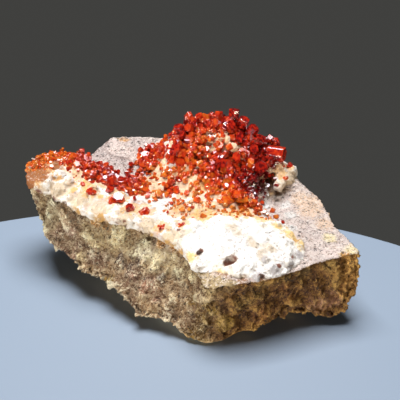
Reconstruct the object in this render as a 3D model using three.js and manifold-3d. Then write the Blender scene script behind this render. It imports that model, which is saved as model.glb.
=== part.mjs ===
// Vanadinite on matrix, a hand-sized mineral specimen: a broken block of pitted host rock, a pale
// barite crust over most of its top, and hexagonal vanadinite crystals grown on that crust.
// Millimetres, +Z up, the front of the specimen towards -Y. The block stands on one flat break.

import * as THREE from "three";
import { ImprovedNoise } from "three/addons/math/ImprovedNoise.js";
import { mergeVertices } from "three/addons/utils/BufferGeometryUtils.js";
import Module from "manifold-3d";

const wasm = await Module();
wasm.setup();

// ---------------------------------------------------------------- driving dimensions
const hub = { x: 0, y: 5 }; // every outline is walked round this point
const gap = 0.3; // clearance between pieces that touch
const finest = 0.15; // slivers thinner than this are merged away
const widestStep = THREE.MathUtils.degToRad(8); // between neighbouring columns of the block
const sideRows = 5; // rows of faces from the rim down to the belly
const underRows = 2; // and from the belly in to the resting break
const topRows = 8; // rings of faces from the rim in to the hub
const roughness = { side: 1.5, top: 0.7, crust: 0.7 }; // how far the surfaces wander
const grain = { coarse: 15, fine: 6 }; // wavelength of that wandering

// Outlines of the block, anticlockwise from the front corner, each point [x, y, z].
const rim = [
  [10, -43, 25], [15.5, -41.5, 25], [22, -39, 25], [31.5, -34.5, 25], [39, -30.5, 26],
  [48.5, -27, 26.5], [56, -25, 27.5], [48.5, -10.5, 30], [44.5, 6.5, 33], [39, 12.5, 35],
  [31, 20, 38.5], [26, 30, 39], [14, 37, 40], [-6, 39.5, 42], [-22.5, 40, 43.5],
  [-35.5, 38.5, 43.5], [-43.5, 33, 38], [-55, 33, 36.5], [-66.5, 32, 37.5], [-65, 15, 32],
  [-55.5, 9, 32.5], [-46, 0, 31.5], [-39.5, -6, 31], [-31.5, -7.5, 30.5], [-23, -12, 30],
  [-14, -17.5, 29], [-6.5, -23, 28], [-2.5, -33, 26.5], [2, -42, 23],
];
const belly = [
  [1.7, -42, 1.5], [8, -40, 1.5], [15, -36.8, 2.5], [21, -36.4, 3], [27, -33.6, 4],
  [32, -31.6, 6], [41, -30.4, 6], [46, -30.3, 3], [53, -28.5, 6], [56.5, -25, 13],
  [51, -8, 12], [47, 8, 12], [40, 21, 13], [26, 33, 14], [5, 40.5, 15], [-20, 42, 14],
  [-40, 40, 16], [-56, 36, 20], [-65, 28, 23], [-65, 17, 24], [-61, 8.5, 20], [-59, 5, 16],
  [-50, -3, 13], [-44, -11, 11], [-35, -15.6, 10], [-28.5, -23.4, 9], [-25, -28.7, 7],
  [-23, -32, 5], [-16, -33.5, 6], [-10.4, -36.5, 5], [-5, -41, 2],
];
const restingBreak = [
  [2, -40.5, 0], [8, -38, 0], [16, -30, 0], [30, -19, 0], [40, -14, 0], [38, 0, 0],
  [30, 12, 0], [12, 22, 0], [-12, 28, 0], [-30, 24, 0], [-34, 8, 0], [-26, -5, 0],
  [-16, -20, 0], [-8, -30, 0],
];

// Relief of the block's top: rounded hills and hollows, [x, y, spread, height].
const hubHeight = 33.5;
const topRelief = [
  [12, 24, 8.5, 15], // the tall hump at the back
  [-3.5, 24, 6.8, 12.5], // its left shoulder
  [29, 17.5, 4.6, 9], // the brow on its right
  [-31, 31, 8, 2.5], // the bare plate at the back left
  [27, 6, 4.5, -4], // the hollow under the brow
];

// The crust: overlapping oval patches, [x, y, half length, half width, turn in degrees, thickness].
const crustPatches = [
  [12, -22, 25, 17.5, -8, 5], // the thick white apron at the front
  [-28, -1, 39, 12.5, -34, 3.2], // the band along the front left rim
  [-54, 22, 15, 13, 0, 4], // the left end
  [0, 7, 27, 15, 0, 3.4], // the slope that the crystals cover
  [8, 22, 27, 14, 0, 2.6], // the skin over the hump
  [33, 16.5, 4, 3, -55, 2.6], // a knob beside the brow
];
const bareSpot = { x: 4, y: -45, reach: 11, loss: 9 }; // rock left bare at the front corner
const crustLip = { out: 0.7, down: 1.1 }; // how far the crust laps over the rim

// Vanadinite: prisms of a few sizes standing out of a skin of tiny ones.
const skin = { thickness: 1.5, around: 16, rows: 3 };
const rootAboveGround = 0.7; // where a prism's foot lies inside that skin
const coarseHabit = { spacing: 4.8, radius: [1.8, 3], stand: [1.2, 3.4], splay: 0.55 };
const mediumHabit = { spacing: 4.6, radius: [1.5, 2.4], stand: [1.1, 2.6], splay: 0.5 };
const fineHabit = { spacing: 4, radius: [1.2, 1.7], stand: [0.7, 1.5], splay: 0.4 };

// Where the clusters grow: oval fields [x, y, half length, half width, turn in degrees, habit], and
// crystals placed singly in them: [x, y, radius, stand, lean along x, lean along y].
const clusters = {
  vanadinite_mound: {
    fields: [
      [4, 21, 18, 9, 0, coarseHabit], // the summit
      [24, 17, 9.5, 6.2, -22, coarseHabit], // the brow
      [4, 8, 22, 9, 0, mediumHabit], // the slope below the summit
      [-19, 20, 6.5, 11, 0, mediumHabit], // the saddle to its left
      [-21, 8, 9, 6.5, 0, mediumHabit], // the foot of the saddle
    ],
    singles: [
      [13.5, 23.5, 3.1, 3.4, 0.1, 0.2],
      [-8.5, 22, 2.7, 3, -0.6, 0],
      [30.5, 17.5, 2.6, 4, 0.9, 0],
      [23, 12, 2.5, 2.6, 0.4, -0.8],
    ],
    seed: 11,
    colour: "red",
  },
  vanadinite_left_chain: {
    fields: [[-39.5, 15.5, 12, 5.2, -42, mediumHabit]],
    singles: [],
    seed: 8,
    colour: "red",
  },
  vanadinite_left_ridge: {
    fields: [[-56, 27, 10.5, 4.2, 0, fineHabit]],
    singles: [],
    seed: 9,
    colour: "orange",
  },
  vanadinite_front_fringe: {
    fields: [
      [-1, -5.6, 12, 3.2, 6, fineHabit],
      [15, -5.4, 12, 3.4, -4, fineHabit],
    ],
    singles: [],
    seed: 31,
    colour: "orange",
  },
};

// Crystals that stand alone on the crust: [x, y, radius, stand, lean along x, lean along y].
const loneCrystals = [
  [-30.5, 1, 2.3, 2.4, 0.2, -0.5],
  [-24.8, -4.6, 1.8, 2, -0.4, -0.3],
  [-20.2, -6, 2, 2.2, 0.3, -0.4],
  [-13.4, -15.3, 1.3, 1.4, 0, -0.3],
  [-6.5, -13.6, 1.3, 1.5, 0.2, -0.2],
  [-40.5, 5.8, 1.6, 1.7, 0.2, -0.4],
  [27.5, -10, 1.4, 1.4, 0.3, -0.2],
];

// ---------------------------------------------------------------- small helpers
const noise = new ImprovedNoise();

function seededRandom(seed) {
  let state = seed;
  return () => {
    state = (state * 1664525 + 1013904223) % 4294967296;
    return state / 4294967296;
  };
}

// Broad lumps with finer ones on them, from -1 to 1 or so.
function lumps(x, y, z) {
  const coarse = noise.noise(x / grain.coarse, y / grain.coarse, z / grain.coarse);
  const fine = noise.noise(x / grain.fine + 7, y / grain.fine, z / grain.fine);
  return coarse + 0.5 * fine;
}

function angleOf([x, y]) {
  return Math.atan2(y - hub.y, x - hub.x);
}

// The point where an outline crosses the ray from the hub at an angle.
function pointAt(outline, angle) {
  const ray = new THREE.Vector2(Math.cos(angle), Math.sin(angle));
  for (let i = 0; i < outline.length; i++) {
    const [ax, ay, az] = outline[i];
    const [bx, by, bz] = outline[(i + 1) % outline.length];
    const a = new THREE.Vector2(ax - hub.x, ay - hub.y);
    const b = new THREE.Vector2(bx - hub.x, by - hub.y);
    const sideA = ray.cross(a);
    const sideB = ray.cross(b);
    if (sideA <= 0 && sideB > 0 && ray.dot(a) + ray.dot(b) > 0) {
      const share = sideA / (sideA - sideB);
      return new THREE.Vector3(ax + (bx - ax) * share, ay + (by - ay) * share, az + (bz - az) * share);
    }
  }
  throw new Error("the outline doesn't close round the hub");
}

// Column angles: every corner of the rim and the belly, with wide gaps filled in.
function columnAngles() {
  const closest = THREE.MathUtils.degToRad(3);
  const corners = [...rim, ...belly].map(angleOf).sort((a, b) => a - b);
  const kept = corners.filter((a, i) => i === 0 || a - corners[i - 1] > closest);
  const angles = [];
  kept.forEach((start, i) => {
    const end = i + 1 < kept.length ? kept[i + 1] : kept[0] + 2 * Math.PI;
    const steps = Math.ceil((end - start) / widestStep);
    for (let k = 0; k < steps; k++) angles.push(start + ((end - start) * k) / steps);
  });
  return angles;
}

const columns = columnAngles();

// A closed body from rings of points, first ring to last, with a fan over each end.
function bodyOfRings(rings, firstCentre, lastCentre) {
  const count = rings[0].length;
  const points = [...rings.flat(), firstCentre, lastCentre];
  const first = points.length - 2;
  const last = points.length - 1;
  const faces = [];
  for (let r = 0; r + 1 < rings.length; r++) {
    for (let i = 0; i < count; i++) {
      const j = (i + 1) % count;
      const a = r * count + i;
      const b = r * count + j;
      const c = a + count;
      const d = b + count;
      faces.push(a, b, d, a, d, c);
    }
  }
  const top = (rings.length - 1) * count;
  for (let i = 0; i < count; i++) {
    const j = (i + 1) % count;
    faces.push(first, j, i);
    faces.push(last, top + i, top + j);
  }
  const geometry = new THREE.BufferGeometry().setFromPoints(points);
  geometry.setIndex(faces);
  return geometry;
}

function solidFrom(geometry) {
  const bare = geometry.clone();
  bare.deleteAttribute("normal");
  bare.deleteAttribute("uv");
  const merged = mergeVertices(bare, 1e-4);
  const mesh = new wasm.Mesh({
    numProp: 3,
    vertProperties: merged.attributes.position.array,
    triVerts: new Uint32Array(merged.index.array),
  });
  return new wasm.Manifold(mesh);
}

function geometryFrom(solid) {
  const { numProp, numVert, vertProperties, triVerts } = solid.getMesh();
  const positions = new Float32Array(numVert * 3);
  for (let i = 0; i < numVert; i++) {
    positions.set(vertProperties.subarray(i * numProp, i * numProp + 3), i * 3);
  }
  const geometry = new THREE.BufferGeometry();
  geometry.setAttribute("position", new THREE.BufferAttribute(positions, 3));
  geometry.setIndex(new THREE.BufferAttribute(new Uint32Array(triVerts), 1));
  geometry.computeVertexNormals();
  return geometry;
}

// The one body of a cut solid, with its crumbs, bubbles and slivers gone.
function largestBody(solid) {
  const largest = (parts) => parts.reduce((a, b) => (a.volume() > b.volume() ? a : b));
  return largest(largest(solid.decompose()).simplify(finest).decompose());
}

// ---------------------------------------------------------------- the block's surfaces
// A rim point, pushed in or out a little so that the edge is ragged.
function raggedRim(angle) {
  const p = pointAt(rim, angle);
  const push = 0.6 * roughness.side * lumps(p.x, p.y, p.z);
  return p.add(new THREE.Vector3(Math.cos(angle), Math.sin(angle), 0).multiplyScalar(push));
}

// Height of the bare rock's top at a share of the way from the hub to the rim.
function rockTop(angle, share) {
  const edge = raggedRim(angle);
  const x = hub.x + (edge.x - hub.x) * share;
  const y = hub.y + (edge.y - hub.y) * share;
  const inside = 1 - share ** 8;
  let z = hubHeight + (edge.z - hubHeight) * share;
  for (const [hillX, hillY, spread, height] of topRelief) {
    const far = ((x - hillX) ** 2 + (y - hillY) ** 2) / (2 * spread ** 2);
    z += height * Math.exp(-far) * inside;
  }
  z += roughness.top * lumps(x, y, 0) * inside;
  return new THREE.Vector3(x, y, z);
}

// Thickness of the crust at a place; at or below zero there is none.
function crustThickness(x, y) {
  let thickest = -1;
  for (const [patchX, patchY, length, width, turn, thickness] of crustPatches) {
    const local = new THREE.Vector2(x - patchX, y - patchY);
    local.rotateAround(new THREE.Vector2(), -THREE.MathUtils.degToRad(turn));
    const far = (local.x / length) ** 2 + (local.y / width) ** 2;
    thickest = Math.max(thickest, thickness * (1 - far ** 2));
  }
  const nearBare = Math.max(0, 1 - Math.hypot(x - bareSpot.x, y - bareSpot.y) / bareSpot.reach);
  const wander = roughness.crust * noise.noise(x / grain.fine, y / grain.fine, 3);
  return thickest - bareSpot.loss * nearBare + wander;
}

// The height that crystals grow from, at any x and y inside the rim.
function growingSurface(x, y) {
  const angle = Math.atan2(y - hub.y, x - hub.x);
  const edge = raggedRim(angle);
  const share = Math.hypot(x - hub.x, y - hub.y) / Math.hypot(edge.x - hub.x, edge.y - hub.y);
  const top = rockTop(angle, Math.min(share, 1));
  return top.z + Math.max(crustThickness(x, y), 0);
}

function growingNormal(x, y) {
  const step = 1;
  const slopeX = (growingSurface(x + step, y) - growingSurface(x - step, y)) / (2 * step);
  const slopeY = (growingSurface(x, y + step) - growingSurface(x, y - step)) / (2 * step);
  return new THREE.Vector3(-slopeX, -slopeY, 1).normalize();
}

function outward(angle, distance) {
  return new THREE.Vector3(Math.cos(angle), Math.sin(angle), 0).multiplyScalar(distance);
}

// The rings of the block's top from the rim in, lifted by liftAt(x, y), the rim pushed out.
function topRings(liftAt, pushAt) {
  const rings = [];
  for (let row = topRows; row > 0; row--) {
    const ring = columns.map((angle) => {
      const p = rockTop(angle, row / topRows);
      const push = row === topRows ? pushAt(p.x, p.y) : 0;
      return p.clone().setZ(p.z + liftAt(p.x, p.y)).add(outward(angle, push));
    });
    rings.push(ring);
  }
  return rings;
}

function topCentre(liftAt) {
  const centre = rockTop(0, 0);
  return centre.clone().setZ(centre.z + liftAt(centre.x, centre.y));
}

// ---------------------------------------------------------------- host rock
// The block, or the block grown by a clearance on its sides and top.
function block(grow) {
  const flat = columns.map((angle) => pointAt(restingBreak, angle));
  const rings = [flat];
  for (let row = underRows - 1; row >= 0; row--) {
    const share = row / underRows; // 0 on the belly
    rings.push(columns.map((angle, i) => sidePoint(angle, 1, grow).lerp(flat[i], share)));
  }
  for (let row = sideRows - 1; row > 0; row--) {
    rings.push(columns.map((angle) => sidePoint(angle, row / sideRows, grow)));
  }
  rings.push(...topRings(() => grow, () => grow));
  return solidFrom(bodyOfRings(rings, new THREE.Vector3(hub.x, hub.y, 0), topCentre(() => grow)));
}

// A point on the broken side, from the rim at depth 0 to the belly at depth 1.
function sidePoint(angle, depth, grow) {
  const p = raggedRim(angle).lerp(pointAt(belly, angle), depth);
  const push = roughness.side * lumps(p.x, p.y, p.z) * (1 - 0.4 * depth) * Math.min(1, 4 * depth);
  return p.add(outward(angle, push + grow));
}

// ---------------------------------------------------------------- barite crust
function bariteCrust() {
  const lipAt = (x, y) => crustLip.out * THREE.MathUtils.smoothstep(crustThickness(x, y), 0, 1.5);
  const under = () => -crustLip.down;
  const rings = [...topRings(under, lipAt).reverse(), ...topRings(crustThickness, lipAt)];
  const slab = solidFrom(bodyOfRings(rings, topCentre(under), topCentre(crustThickness)));
  return largestBody(slab.subtract(block(gap)));
}

// Everything under the crystals, with clearance: what their feet are cut with.
function groundBody() {
  const clear = 1.5 * gap;
  const liftAt = (x, y) => Math.max(crustThickness(x, y), 0) + clear;
  const rings = topRings(liftAt, () => crustLip.out + clear);
  const foot = rings[0].map((p) => p.clone().setZ(0));
  return solidFrom(bodyOfRings([foot, ...rings], new THREE.Vector3(hub.x, hub.y, 0), topCentre(liftAt)));
}

// ---------------------------------------------------------------- vanadinite
// One crystal on the surface, a six-sided prism leaning away from the surface's normal. Its foot
// lies at the given height along its own axis: below the surface for a crystal that stands alone.
function crystalAt([x, y, radius, stand, leanX, leanY], footHeight, turn) {
  const axis = growingNormal(x, y).add(new THREE.Vector3(leanX, leanY, 0)).normalize();
  const foot = new THREE.Vector3(x, y, growingSurface(x, y)).addScaledVector(axis, footHeight);
  const upright = new THREE.Quaternion().setFromUnitVectors(new THREE.Vector3(0, 1, 0), axis);
  const length = stand + skin.thickness - footHeight;
  const geometry = new THREE.CylinderGeometry(radius, radius, length, 6);
  geometry.rotateY(turn).translate(0, length / 2, 0);
  geometry.applyQuaternion(upright).translate(foot.x, foot.y, foot.z);
  return { geometry, foot, tip: foot.clone().addScaledVector(axis, length), radius };
}

// The skin of tiny crystals over an oval field, thinning away at the field's edge.
function skinOver([fieldX, fieldY, length, width, turn]) {
  const turned = THREE.MathUtils.degToRad(turn);
  const ringAt = (share, height) => {
    const ring = [];
    for (let i = 0; i < skin.around; i++) {
      const angle = (i / skin.around) * 2 * Math.PI;
      const p = new THREE.Vector2(length * Math.cos(angle), width * Math.sin(angle));
      p.multiplyScalar(share).rotateAround(new THREE.Vector2(), turned);
      const x = fieldX + p.x;
      const y = fieldY + p.y;
      ring.push(new THREE.Vector3(x, y, growingSurface(x, y) + height));
    }
    return ring;
  };
  const rings = [ringAt(1, -4)];
  for (let row = skin.rows; row > 0; row--) {
    rings.push(ringAt(row / skin.rows, skin.thickness * (1 - 1.2 * (row / skin.rows) ** 4)));
  }
  const middle = growingSurface(fieldX, fieldY);
  const lowest = Math.min(middle, ...rings[0].map((p) => p.z)) - 4;
  const centres = [lowest, middle + skin.thickness].map((z) => new THREE.Vector3(fieldX, fieldY, z));
  return solidFrom(bodyOfRings(rings, ...centres));
}

// Crystals in uneven rows over an oval field, each [x, y, radius, stand, lean x, lean y].
function scatterOver([fieldX, fieldY, length, width, turn, habit], random) {
  const { spacing, radius, stand, splay } = habit;
  const between = (low, high) => low + (high - low) * random();
  const rowStep = spacing * Math.sin(Math.PI / 3);
  const rows = Math.ceil(width / rowStep);
  const cols = Math.ceil(length / spacing);
  const turned = THREE.MathUtils.degToRad(turn);
  const placed = [];
  for (let row = -rows; row <= rows; row++) {
    for (let col = -cols; col <= cols; col++) {
      const stray = 0.25 * spacing;
      const along = (col + 0.5 * (row & 1)) * spacing + between(-stray, stray);
      const across = row * rowStep + between(-stray, stray);
      const size = between(0, 1) ** 1.5;
      const leanX = between(-splay, splay);
      const leanY = between(-splay, splay);
      if ((along / length) ** 2 + (across / width) ** 2 > 0.85) continue;
      const p = new THREE.Vector2(along, across).rotateAround(new THREE.Vector2(), turned);
      const sizes = [THREE.MathUtils.lerp(...radius, size), THREE.MathUtils.lerp(...stand, size)];
      placed.push([fieldX + p.x, fieldY + p.y, ...sizes, leanX, leanY]);
    }
  }
  return placed;
}

const grown = []; // every cluster crystal so far, with its cluster

// Whether a crystal leaves room for those already grown: more of it between clusters.
function hasRoom(crystal, cluster) {
  const pointsOf = ({ foot, tip }) => [foot, tip, foot.clone().lerp(tip, 0.5)];
  return grown.every((other) => {
    const reach = crystal.radius + other.radius;
    if (other.cluster === cluster) return crystal.foot.distanceTo(other.foot) > 0.8 * reach;
    return pointsOf(crystal).every((p) => pointsOf(other).every((q) => p.distanceTo(q) > reach + 0.6));
  });
}

function vanadiniteCluster(cluster, { fields, singles, seed }, ground) {
  const random = seededRandom(seed);
  const solids = fields.map(skinOver);
  for (const place of [...singles, ...fields.flatMap((field) => scatterOver(field, random))]) {
    const crystal = crystalAt(place, rootAboveGround, random());
    if (!hasRoom(crystal, cluster)) continue;
    grown.push({ ...crystal, cluster });
    solids.push(solidFrom(crystal.geometry));
  }
  return largestBody(wasm.Manifold.union(solids).subtract(ground));
}

function loneCrystal(place, ground) {
  const footBelow = -0.8;
  return largestBody(solidFrom(crystalAt(place, footBelow, place[2]).geometry).subtract(ground));
}

// ---------------------------------------------------------------- the specimen
const materials = {
  rock: new THREE.MeshStandardMaterial({ color: 0xa08a62, roughness: 0.95, metalness: 0 }),
  crust: new THREE.MeshStandardMaterial({ color: 0xefe8dc, roughness: 0.8, metalness: 0 }),
  red: new THREE.MeshStandardMaterial({ color: 0xa3200f, roughness: 0.2, metalness: 0 }),
  orange: new THREE.MeshStandardMaterial({ color: 0xc8501a, roughness: 0.25, metalness: 0 }),
};

const specimen = new THREE.Group();

function addPiece(name, solid, material) {
  const mesh = new THREE.Mesh(geometryFrom(solid), material);
  mesh.name = name;
  specimen.add(mesh);
}

addPiece("host_rock", largestBody(block(0)), materials.rock);
addPiece("barite_crust", bariteCrust(), materials.crust);
const ground = groundBody();
for (const [name, plan] of Object.entries(clusters)) {
  addPiece(name, vanadiniteCluster(name, plan, ground), materials[plan.colour]);
}
loneCrystals.forEach((place, i) => {
  addPiece(`vanadinite_crystal_${i + 1}`, loneCrystal(place, ground), materials.red);
});

// The origin lies under the middle of the specimen, on the plane it rests on.
const bounds = new THREE.Box3().setFromObject(specimen);
const middle = bounds.getCenter(new THREE.Vector3());
for (const mesh of specimen.children) mesh.geometry.translate(-middle.x, -middle.y, -bounds.min.z);

export default specimen;
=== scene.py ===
import math
import random

import bpy
import numpy as np
from mathutils import Matrix, Vector, noise
from mathutils.bvhtree import BVHTree


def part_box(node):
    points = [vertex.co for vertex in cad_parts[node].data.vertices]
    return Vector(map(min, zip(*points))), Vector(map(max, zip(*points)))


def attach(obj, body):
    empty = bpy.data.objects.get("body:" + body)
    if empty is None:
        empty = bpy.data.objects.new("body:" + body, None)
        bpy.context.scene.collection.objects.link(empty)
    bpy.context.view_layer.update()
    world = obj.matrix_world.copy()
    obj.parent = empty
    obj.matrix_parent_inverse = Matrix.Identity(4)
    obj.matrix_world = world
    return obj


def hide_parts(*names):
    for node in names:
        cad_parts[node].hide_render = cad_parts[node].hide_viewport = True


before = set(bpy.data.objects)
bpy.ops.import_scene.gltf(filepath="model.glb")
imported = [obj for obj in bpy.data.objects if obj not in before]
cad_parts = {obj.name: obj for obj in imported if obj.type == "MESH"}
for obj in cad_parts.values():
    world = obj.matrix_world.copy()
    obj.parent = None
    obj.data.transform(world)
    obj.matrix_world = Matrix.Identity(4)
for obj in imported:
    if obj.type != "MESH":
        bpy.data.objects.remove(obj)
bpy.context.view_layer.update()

mm = 0.001
chance = random.Random(7)
cornerToAnchor = (66.5, 42.9, 0)  # in mm, from the rock's low corner to where all places are measured from
anchor = Vector(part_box("host_rock")[0]) + Vector(cornerToAnchor) * mm


def place(x, y, z):
    return anchor + Vector((x, y, z)) * mm


# the camera, the lights and the floor
cameraPlan = {"aim": (0, 0, 35), "elevation": 27, "distance": 345, "lens": 85, "sensor": 36}
lightPlan = {  # place in mm, size in metres, power in watts
    "overhead": {"at": (-30, 80, 600), "size": (0.36, 0.36), "power": 7.1, "tint": (0.98, 0.98, 1.0)},
    "frontLeft": {"at": (-440, -470, 17), "size": (0.26, 0.02), "power": 4.7, "tint": (1.0, 0.96, 0.90)},
    "frontRight": {"at": (430, -420, 17), "size": (0.26, 0.02), "power": 0.95, "tint": (1.0, 0.84, 0.62)},
}
lightAim = (0, 0, 30)
floorPlan = {  # places and sizes in mm
    "middle": (-21, -116), "radius": 177.4, "thickness": 8, "edge": 1.5,
    "colour": (0.235, 0.293, 0.37), "roughness": 0.55,
}
roomPlan = {"fill": (0.022, 0.021, 0.020), "backdrop": (0.052, 0.052, 0.049)}


def addCamera(plan):
    tilt = math.radians(plan["elevation"])
    back = Vector((0, -math.cos(tilt), math.sin(tilt))) * plan["distance"] * mm
    bpy.ops.object.camera_add(location=place(*plan["aim"]) + back, rotation=(math.pi / 2 - tilt, 0, 0))
    made = bpy.context.object
    made.data.lens = plan["lens"]
    made.data.sensor_width = plan["sensor"]
    made.data.clip_start = 0.01
    bpy.context.scene.camera = made


def addSoftbox(name, plan):
    spot = place(*plan["at"])
    turn = (place(*lightAim) - spot).to_track_quat("-Z", "Y").to_euler()
    bpy.ops.object.light_add(type="AREA", location=spot, rotation=turn)
    light = bpy.context.object
    light.name = name
    light.data.shape = "RECTANGLE"
    light.data.size = plan["size"][0]
    light.data.size_y = plan["size"][1]
    light.data.energy = plan["power"]
    light.data.color = plan["tint"]


def addFloor(plan):
    bpy.ops.object.select_all(action="DESELECT")
    bpy.ops.mesh.primitive_cylinder_add(
        vertices=160, radius=plan["radius"] * mm, depth=plan["thickness"] * mm,
        location=place(*plan["middle"], -plan["thickness"] / 2))
    floor = bpy.context.object
    floor.name = "floor"
    bevel = floor.modifiers.new("edge", "BEVEL")
    bevel.width = plan["edge"] * mm
    bevel.segments = 3
    bpy.ops.object.modifier_apply(modifier="edge")
    surface = bpy.data.materials.new("floorPaint")
    surface.use_nodes = True
    shader = surface.node_tree.nodes["Principled BSDF"]
    shader.inputs["Base Color"].default_value = (*plan["colour"], 1)
    shader.inputs["Roughness"].default_value = plan["roughness"]
    floor.data.materials.append(surface)


def addRoom(plan):  # the camera sees the backdrop, and the piece is lit by the fill
    studio = bpy.data.worlds.new("studio")
    bpy.context.scene.world = studio
    studio.use_nodes = True
    nodes, links = studio.node_tree.nodes, studio.node_tree.links
    seen = nodes.new("ShaderNodeLightPath").outputs["Is Camera Ray"]
    room = nodes.new("ShaderNodeMix")
    room.data_type = "RGBA"
    room.inputs[6].default_value = (*plan["fill"], 1)
    room.inputs[7].default_value = (*plan["backdrop"], 1)
    links.new(seen, room.inputs[0])
    links.new(room.outputs[2], nodes["Background"].inputs["Color"])


addCamera(cameraPlan)
for lightName, light in lightPlan.items():
    addSoftbox(lightName, light)
addFloor(floorPlan)
addRoom(roomPlan)
bpy.context.scene.view_settings.view_transform = "Standard"
print("camera, lights and floor are set")


# work on meshes
def onlySelect(piece):
    bpy.ops.object.select_all(action="DESELECT")
    piece.select_set(True)
    bpy.context.view_layer.objects.active = piece


def copyOfNode(node, name):  # a separate copy of a CAD node, its doubles merged
    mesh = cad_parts[node].data.copy()
    mesh.materials.clear()
    piece = bpy.data.objects.new(name, mesh)
    bpy.context.scene.collection.objects.link(piece)
    onlySelect(piece)
    bpy.ops.object.mode_set(mode="EDIT")
    bpy.ops.mesh.select_all(action="SELECT")
    bpy.ops.mesh.remove_doubles(threshold=2e-6)
    bpy.ops.object.mode_set(mode="OBJECT")
    return piece


def applyModifier(piece, kind, **settings):
    onlySelect(piece)
    modifier = piece.modifiers.new(kind, kind)
    for setting, value in settings.items():
        setattr(modifier, setting, value)
    bpy.ops.object.modifier_apply(modifier=modifier.name)


def roughen(piece, name, kind, size, depth, group, settings):  # size and depth in mm
    texture = bpy.data.textures.new(name, kind)
    texture.noise_scale = size * mm
    for setting, value in settings.items():
        setattr(texture, setting, value)
    applyModifier(piece, "DISPLACE", texture=texture, texture_coords="LOCAL", direction="NORMAL",
                  mid_level=0.5, strength=depth * mm, vertex_group=group)


def pointsOf(mesh):
    flat = np.empty(len(mesh.vertices) * 3, dtype=np.float32)
    mesh.vertices.foreach_get("co", flat)
    return flat.reshape(-1, 3)


def normalsOf(mesh):
    flat = np.empty(len(mesh.vertices) * 3, dtype=np.float32)
    mesh.vertex_normals.foreach_get("vector", flat)
    return flat.reshape(-1, 3)


def ramp(low, high, values):
    share = np.clip((values - low) / (high - low), 0, 1)
    return share * share * (3 - 2 * share)


def raisedFrom(piece, before, normals, spread):  # 0 where pressed in, 1 where pushed out, spread in mm
    moved = ((pointsOf(piece.data) - before) * normals).sum(axis=1) / mm
    return ramp(-spread, spread, moved - np.median(moved))


def weightGroup(piece, name, weights):
    group = piece.vertex_groups.new(name=name)
    steps = 20  # a group takes one weight for many points, so the weights are rounded
    rounded = np.round(weights * steps).astype(int)
    for step in range(1, steps + 1):
        members = np.nonzero(rounded == step)[0].tolist()
        if members:
            group.add(members, step / steps, "REPLACE")


def paint(mesh, name, values):
    attribute = mesh.attributes.get(name) or mesh.attributes.new(name, "FLOAT", "POINT")
    attribute.data.foreach_set("value", np.asarray(values, dtype=np.float32))


def spotsOver(points, spots):  # 1 at each spot (x, y, z and reach, in mm), fading out round it
    weight = np.zeros(len(points))
    for x, y, z, reach in spots:
        far = np.linalg.norm(points - np.array(place(x, y, z)), axis=1) / (reach * mm)
        weight = np.maximum(weight, np.exp(-far ** 2))
    return weight


def nearness(points, tree, reach):  # 1 on a mesh, fading to 0 at the reach from it
    limit = reach * mm
    result = np.zeros(len(points))
    for i, point in enumerate(points.tolist()):
        distance = tree.find_nearest(point, limit)[3]
        if distance is not None:
            result[i] = 1 - distance / limit
    return result


def treeOf(*pieces):
    corners, faces = [], []
    for piece in pieces:
        start = len(corners)
        corners += [v.co[:] for v in piece.data.vertices]
        faces += [[start + i for i in polygon.vertices] for polygon in piece.data.polygons]
    return BVHTree.FromPolygons(corners, faces)


crystalNodes = [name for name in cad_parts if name.startswith("vanadinite")]
crystalTree = treeOf(*[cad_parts[name] for name in crystalNodes])


# nodes for materials
def addNode(tree, kind, inputs=None, **settings):
    made = tree.nodes.new(kind)
    for setting, value in settings.items():
        setattr(made, setting, value)
    for socket, value in (inputs or {}).items():
        target = made.inputs[socket]
        if isinstance(value, bpy.types.NodeSocket):
            tree.links.new(value, target)
        else:
            target.default_value = value
    return made


def attributeMask(tree, name):
    return addNode(tree, "ShaderNodeAttribute", attribute_name=name).outputs["Fac"]


def mixColours(tree, mask, under, over, blend="MIX"):
    made = addNode(tree, "ShaderNodeMix", data_type="RGBA", blend_type=blend)
    for socket, value in ((0, mask), (6, under), (7, over)):
        if isinstance(value, bpy.types.NodeSocket):
            tree.links.new(value, made.inputs[socket])
        elif socket == 0:
            made.inputs[0].default_value = value
        else:
            made.inputs[socket].default_value = (*value, 1)
    return made.outputs[2]


def rescale(tree, value, low, high, toLow=0.0, toHigh=1.0):
    made = addNode(tree, "ShaderNodeMapRange", interpolation_type="SMOOTHSTEP", inputs={
        "Value": value, "From Min": low, "From Max": high, "To Min": toLow, "To Max": toHigh})
    return made.outputs["Result"]


def multiply(tree, a, b, operation="MULTIPLY"):
    made = addNode(tree, "ShaderNodeMath", operation=operation, use_clamp=True)
    for socket, value in ((0, a), (1, b)):
        if isinstance(value, bpy.types.NodeSocket):
            tree.links.new(value, made.inputs[socket])
        else:
            made.inputs[socket].default_value = value
    return made.outputs[0]


def millimetres(tree):  # Object coordinates in mm
    where = addNode(tree, "ShaderNodeTexCoord").outputs["Object"]
    scaled = addNode(tree, "ShaderNodeMapping", inputs={"Vector": where, "Scale": (1000, 1000, 1000)})
    return scaled.outputs[0]


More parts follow.
